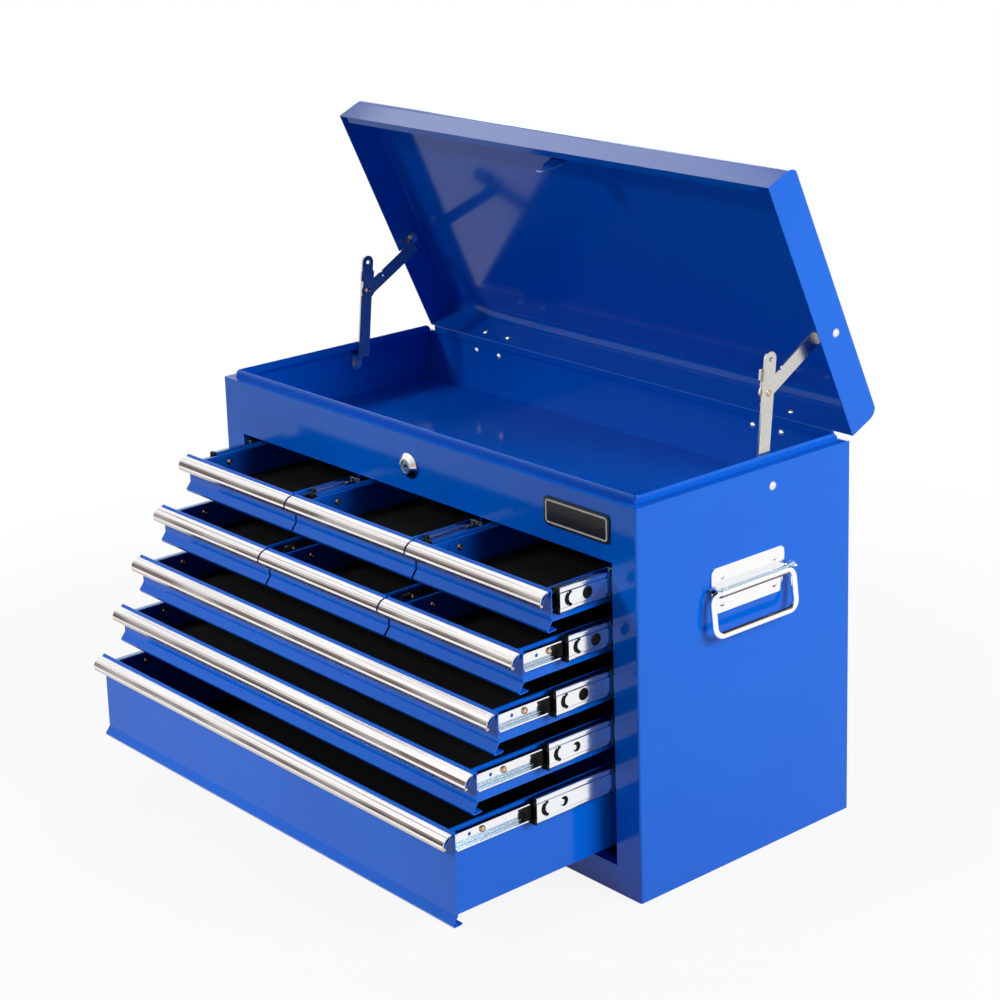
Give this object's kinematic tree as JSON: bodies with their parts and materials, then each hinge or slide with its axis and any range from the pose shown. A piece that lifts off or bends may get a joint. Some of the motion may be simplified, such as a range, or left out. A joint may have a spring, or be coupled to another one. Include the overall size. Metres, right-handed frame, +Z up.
{
  "type": "portable tool chest",
  "caption": "Blue sheet steel tool chest with ball-bearing drawers, an open top tray, a hinged lid on folding stays, a cam lock and side handles.",
  "frame": {"origin": "centre of the cabinet's underside, on the plane it stands on", "axes": "+X to the chest's right as seen from the front, +Y from the drawer fronts to the back, +Z up"},
  "size_m": [0.6284, 0.496, 0.6187],
  "materials": {
    "blue_enamel": "glossy",
    "zinc_slides": "bright zinc plating",
    "zinc_hardware": "satin zinc plating",
    "bright_fasteners": "bright",
    "chrome_fittings": "polished",
    "pull_aluminium": "drawn lengthwise, semi-polished",
    "black_plate": "glossy"
  },
  "bodies": {
    "cabinet": {"side_panel_left": "blue_enamel", "side_panel_right": "blue_enamel", "back_panel": "blue_enamel", "base_panel": "blue_enamel", "top_rail": "blue_enamel", "tray_floor": "blue_enamel", "slide_uprights": "blue_enamel", "cabinet_rails": "zinc_slides", "lock_housing": "chrome_fittings", "nameplate": "black_plate", "handle_plates": "chrome_fittings", "cabinet_hinge_leaves": "zinc_hardware", "cabinet_fasteners": "bright_fasteners"},
    "lid": {"lid_shell": "blue_enamel", "lid_hinge_leaves": "zinc_hardware", "lid_fasteners": "bright_fasteners", "lid_latch": "blue_enamel"},
    "lock_cylinder": {"lock_plug": "chrome_fittings"},
    "bail_left": {"bail_left": "chrome_fittings"},
    "bail_right": {"bail_right": "chrome_fittings"},
    "stay_lower_left": {"stay_lower_left": "zinc_hardware"},
    "stay_lower_right": {"stay_lower_right": "zinc_hardware"},
    "stay_upper_left": {"stay_upper_left": "zinc_hardware"},
    "stay_upper_right": {"stay_upper_right": "zinc_hardware"},
    "mid_rails_1": {"drawer_1_mid_rails": "zinc_slides"},
    "drawer_1": {"drawer_1": "blue_enamel", "drawer_1_pull": "pull_aluminium", "drawer_1_runners": "zinc_slides"},
    "mid_rails_2": {"drawer_2_mid_rails": "zinc_slides"},
    "drawer_2": {"drawer_2": "blue_enamel", "drawer_2_pull": "pull_aluminium", "drawer_2_runners": "zinc_slides"},
    "mid_rails_3": {"drawer_3_mid_rails": "zinc_slides"},
    "drawer_3": {"drawer_3": "blue_enamel", "drawer_3_pull": "pull_aluminium", "drawer_3_runners": "zinc_slides"},
    "mid_rails_4": {"drawer_4_mid_rails": "zinc_slides"},
    "drawer_4": {"drawer_4": "blue_enamel", "drawer_4_pull": "pull_aluminium", "drawer_4_runners": "zinc_slides"},
    "mid_rails_5": {"drawer_5_mid_rails": "zinc_slides"},
    "drawer_5": {"drawer_5": "blue_enamel", "drawer_5_pull": "pull_aluminium", "drawer_5_runners": "zinc_slides"},
    "mid_rails_6": {"drawer_6_mid_rails": "zinc_slides"},
    "drawer_6": {"drawer_6": "blue_enamel", "drawer_6_pull": "pull_aluminium", "drawer_6_runners": "zinc_slides"},
    "mid_rails_7": {"drawer_7_mid_rails": "zinc_slides"},
    "drawer_7": {"drawer_7": "blue_enamel", "drawer_7_pull": "pull_aluminium", "drawer_7_runners": "zinc_slides"},
    "mid_rails_8": {"drawer_8_mid_rails": "zinc_slides"},
    "drawer_8": {"drawer_8": "blue_enamel", "drawer_8_pull": "pull_aluminium", "drawer_8_runners": "zinc_slides"},
    "mid_rails_9": {"drawer_9_mid_rails": "zinc_slides"},
    "drawer_9": {"drawer_9": "blue_enamel", "drawer_9_pull": "pull_aluminium", "drawer_9_runners": "zinc_slides"}
  },
  "joints": [
    {"name": "lid_hinge", "type": "hinge", "parent": "cabinet", "child": "lid", "pos_m": [0, 0.1385, 0.358], "axis": [-1, 0, 0], "range_deg": [-65.5, 0]},
    {"name": "stay_lower_left_pivot", "type": "hinge", "parent": "cabinet", "child": "stay_lower_left", "pos_m": [-0.2977, 0.033, 0.341], "axis": [-1, 0, 0], "range_deg": [-89.5, 0.5]},
    {"name": "stay_upper_left_pivot", "type": "hinge", "parent": "lid", "child": "stay_upper_left", "pos_m": [-0.2977, 0.11514, 0.46351], "axis": [-1, 0, 0], "range_deg": [-0.5, 75.6]},
    {"name": "stay_lower_right_pivot", "type": "hinge", "parent": "cabinet", "child": "stay_lower_right", "pos_m": [0.2977, 0.033, 0.341], "axis": [-1, 0, 0], "range_deg": [-89.5, 0.5]},
    {"name": "stay_upper_right_pivot", "type": "hinge", "parent": "lid", "child": "stay_upper_right", "pos_m": [0.2977, 0.11514, 0.46351], "axis": [-1, 0, 0], "range_deg": [-0.5, 75.6]},
    {"name": "lock_turn", "type": "hinge", "parent": "cabinet", "child": "lock_cylinder", "pos_m": [0, -0.134, 0.332], "axis": [0, 1, 0], "range_deg": [0, 90]},
    {"name": "bail_right_swing", "type": "hinge", "parent": "cabinet", "child": "bail_right", "pos_m": [0.307, 0, 0.263], "axis": [0, -1, 0], "range_deg": [-6.5, 83.5]},
    {"name": "bail_left_swing", "type": "hinge", "parent": "cabinet", "child": "bail_left", "pos_m": [-0.307, 0, 0.263], "axis": [0, 1, 0], "range_deg": [-6.5, 83.5]},
    {"name": "mid_rails_1_slide", "type": "slide", "parent": "cabinet", "child": "mid_rails_1", "axis": [0, -1, 0], "range_m": [-0.045, 0.065]},
    {"name": "drawer_1_slide", "type": "slide", "parent": "mid_rails_1", "child": "drawer_1", "axis": [0, -1, 0], "range_m": [-0.023, 0.087]},
    {"name": "mid_rails_2_slide", "type": "slide", "parent": "cabinet", "child": "mid_rails_2", "axis": [0, -1, 0], "range_m": [-0.0535, 0.0565]},
    {"name": "drawer_2_slide", "type": "slide", "parent": "mid_rails_2", "child": "drawer_2", "axis": [0, -1, 0], "range_m": [-0.0145, 0.0955]},
    {"name": "mid_rails_3_slide", "type": "slide", "parent": "cabinet", "child": "mid_rails_3", "axis": [0, -1, 0], "range_m": [-0.0605, 0.0495]},
    {"name": "drawer_3_slide", "type": "slide", "parent": "mid_rails_3", "child": "drawer_3", "axis": [0, -1, 0], "range_m": [-0.0075, 0.1025]},
    {"name": "mid_rails_4_slide", "type": "slide", "parent": "cabinet", "child": "mid_rails_4", "axis": [0, -1, 0], "range_m": [-0.044, 0.066]},
    {"name": "drawer_4_slide", "type": "slide", "parent": "mid_rails_4", "child": "drawer_4", "axis": [0, -1, 0], "range_m": [-0.057, 0.053]},
    {"name": "mid_rails_5_slide", "type": "slide", "parent": "cabinet", "child": "mid_rails_5", "axis": [0, -1, 0], "range_m": [-0.048, 0.062]},
    {"name": "drawer_5_slide", "type": "slide", "parent": "mid_rails_5", "child": "drawer_5", "axis": [0, -1, 0], "range_m": [-0.053, 0.057]},
    {"name": "mid_rails_6_slide", "type": "slide", "parent": "cabinet", "child": "mid_rails_6", "axis": [0, -1, 0], "range_m": [-0.052, 0.058]},
    {"name": "drawer_6_slide", "type": "slide", "parent": "mid_rails_6", "child": "drawer_6", "axis": [0, -1, 0], "range_m": [-0.049, 0.061]},
    {"name": "mid_rails_7_slide", "type": "slide", "parent": "cabinet", "child": "mid_rails_7", "axis": [0, -1, 0], "range_m": [-0.0675, 0.0425]},
    {"name": "drawer_7_slide", "type": "slide", "parent": "mid_rails_7", "child": "drawer_7", "axis": [0, -1, 0], "range_m": [-0.0625, 0.0475]},
    {"name": "mid_rails_8_slide", "type": "slide", "parent": "cabinet", "child": "mid_rails_8", "axis": [0, -1, 0], "range_m": [-0.077, 0.033]},
    {"name": "drawer_8_slide", "type": "slide", "parent": "mid_rails_8", "child": "drawer_8", "axis": [0, -1, 0], "range_m": [-0.078, 0.032]},
    {"name": "mid_rails_9_slide", "type": "slide", "parent": "cabinet", "child": "mid_rails_9", "axis": [0, -1, 0], "range_m": [-0.0925, 0.0175]},
    {"name": "drawer_9_slide", "type": "slide", "parent": "mid_rails_9", "child": "drawer_9", "axis": [0, -1, 0], "range_m": [-0.0875, 0.0225]}
  ],
  "couplings": [
    {"joint": "stay_lower_left_pivot", "follows": "lid_hinge", "ratio": 1.3586},
    {"joint": "stay_upper_left_pivot", "follows": "lid_hinge", "ratio": -1.1467},
    {"joint": "stay_lower_right_pivot", "follows": "lid_hinge", "ratio": 1.3586},
    {"joint": "stay_upper_right_pivot", "follows": "lid_hinge", "ratio": -1.1467}
  ]
}
